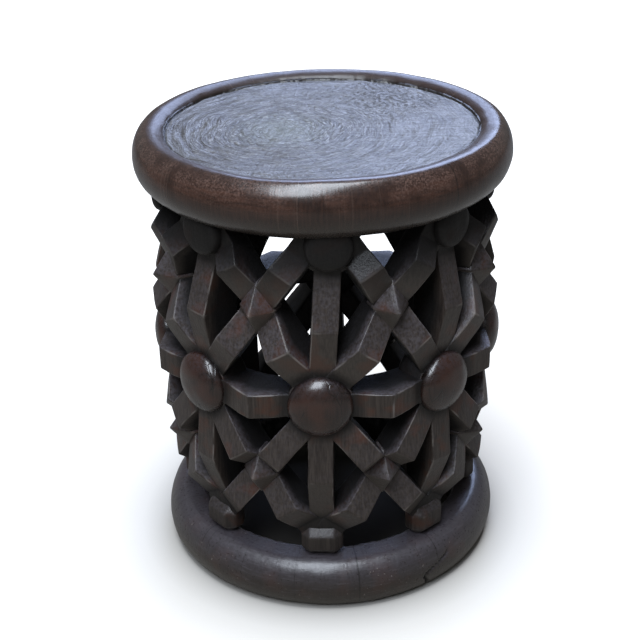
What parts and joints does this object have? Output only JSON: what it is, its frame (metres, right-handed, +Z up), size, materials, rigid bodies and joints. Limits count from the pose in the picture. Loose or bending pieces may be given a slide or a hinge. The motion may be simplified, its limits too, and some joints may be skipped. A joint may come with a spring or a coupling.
{
  "type": "spider stool",
  "caption": "Round carved wooden stool: a dished seat and a rounded base ring held apart by an open drum lattice of domed spider bodies and bent, crossing legs.",
  "frame": {"origin": "centre of the base ring's flat sole, on the floor", "axes": "+Z up along the drum's axis; -Y towards the column that faces the picture's camera"},
  "size_m": [0.352, 0.352, 0.435],
  "materials": {
    "seat_wood": "waxed dark hardwood, worn end grain in the dish and rubbed brown round the rim",
    "base_wood": "waxed dark hardwood with small nicks and drying checks",
    "leg_wood": "near-black stained hardwood with rubbed edges",
    "spider_wood": "near-black stained hardwood, polished by handling"
  },
  "bodies": {
    "root": {"seat": "seat_wood", "base_ring": "base_wood", "upright_1": "leg_wood", "upright_2": "leg_wood", "upright_3": "leg_wood", "upright_4": "leg_wood", "upright_5": "leg_wood", "upright_6": "leg_wood", "upright_7": "leg_wood", "upright_8": "leg_wood", "crossbar_1": "leg_wood", "crossbar_2": "leg_wood", "crossbar_3": "leg_wood", "crossbar_4": "leg_wood", "crossbar_5": "leg_wood", "crossbar_6": "leg_wood", "crossbar_7": "leg_wood", "crossbar_8": "leg_wood", "upper_leg_over_1": "leg_wood", "upper_leg_over_2": "leg_wood", "upper_leg_over_3": "leg_wood", "upper_leg_over_4": "leg_wood", "upper_leg_over_5": "leg_wood", "upper_leg_over_6": "leg_wood", "upper_leg_over_7": "leg_wood", "upper_leg_over_8": "leg_wood", "upper_leg_under_1": "leg_wood", "upper_leg_under_2": "leg_wood", "upper_leg_under_3": "leg_wood", "upper_leg_under_4": "leg_wood", "upper_leg_under_5": "leg_wood", "upper_leg_under_6": "leg_wood", "upper_leg_under_7": "leg_wood", "upper_leg_under_8": "leg_wood", "lower_leg_over_1": "leg_wood", "lower_leg_over_2": "leg_wood", "lower_leg_over_3": "leg_wood", "lower_leg_over_4": "leg_wood", "lower_leg_over_5": "leg_wood", "lower_leg_over_6": "leg_wood", "lower_leg_over_7": "leg_wood", "lower_leg_over_8": "leg_wood", "lower_leg_under_1": "leg_wood", "lower_leg_under_2": "leg_wood", "lower_leg_under_3": "leg_wood", "lower_leg_under_4": "leg_wood", "lower_leg_under_5": "leg_wood", "lower_leg_under_6": "leg_wood", "lower_leg_under_7": "leg_wood", "lower_leg_under_8": "leg_wood", "spider_body_1": "spider_wood", "spider_body_2": "spider_wood", "spider_body_3": "spider_wood", "spider_body_4": "spider_wood", "spider_body_5": "spider_wood", "spider_body_6": "spider_wood", "spider_body_7": "spider_wood", "spider_body_8": "spider_wood"}
  },
  "joints": []
}
